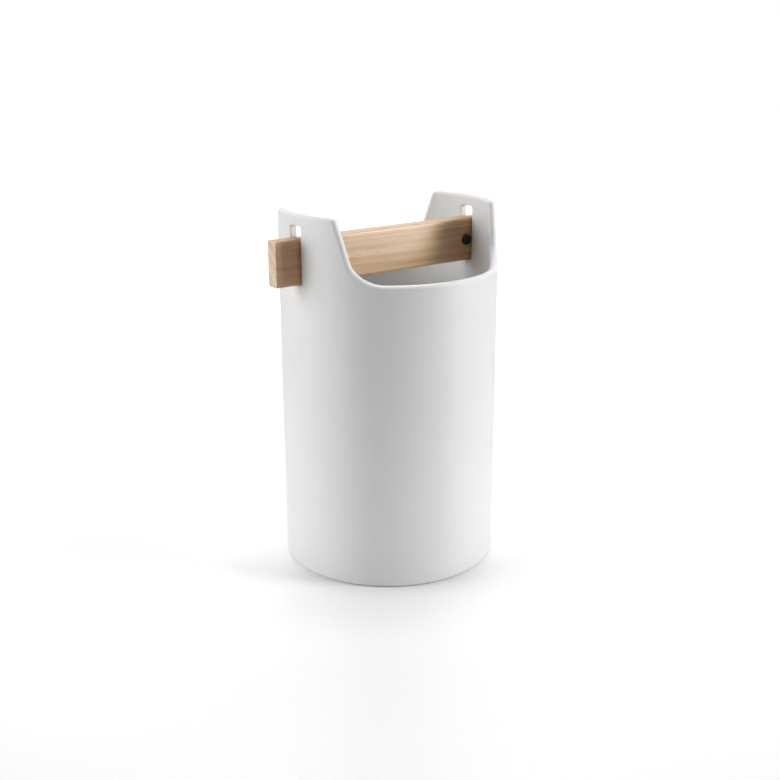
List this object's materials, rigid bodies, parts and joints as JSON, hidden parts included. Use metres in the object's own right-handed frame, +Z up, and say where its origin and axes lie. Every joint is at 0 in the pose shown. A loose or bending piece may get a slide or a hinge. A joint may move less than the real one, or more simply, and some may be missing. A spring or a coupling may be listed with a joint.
{
  "type": "utensil holder",
  "caption": "Tall round ceramic holder for kitchen utensils, notched front and back, with a flat wooden carrying bar through windowed ears.",
  "frame": {"origin": "middle of the foot, on the plane that the foot ring rests on", "axes": "+Z up along the vessel's axis, X along the carrying bar, -Y towards the front notch"},
  "size_m": [0.1486, 0.12, 0.2],
  "materials": {
    "glazed_ceramic": "white satin glaze",
    "oak": "oiled oak",
    "peg_rubber": "matt black"
  },
  "bodies": {
    "vessel": {"vessel": "glazed_ceramic"},
    "handle": {"handle_bar": "oak", "stop_peg_right": "peg_rubber", "stop_peg_left": "peg_rubber"}
  },
  "joints": [
    {"name": "handle_lift", "type": "slide", "parent": "vessel", "child": "handle", "axis": [0, 0, 1], "range_m": [0, 0.006]}
  ]
}
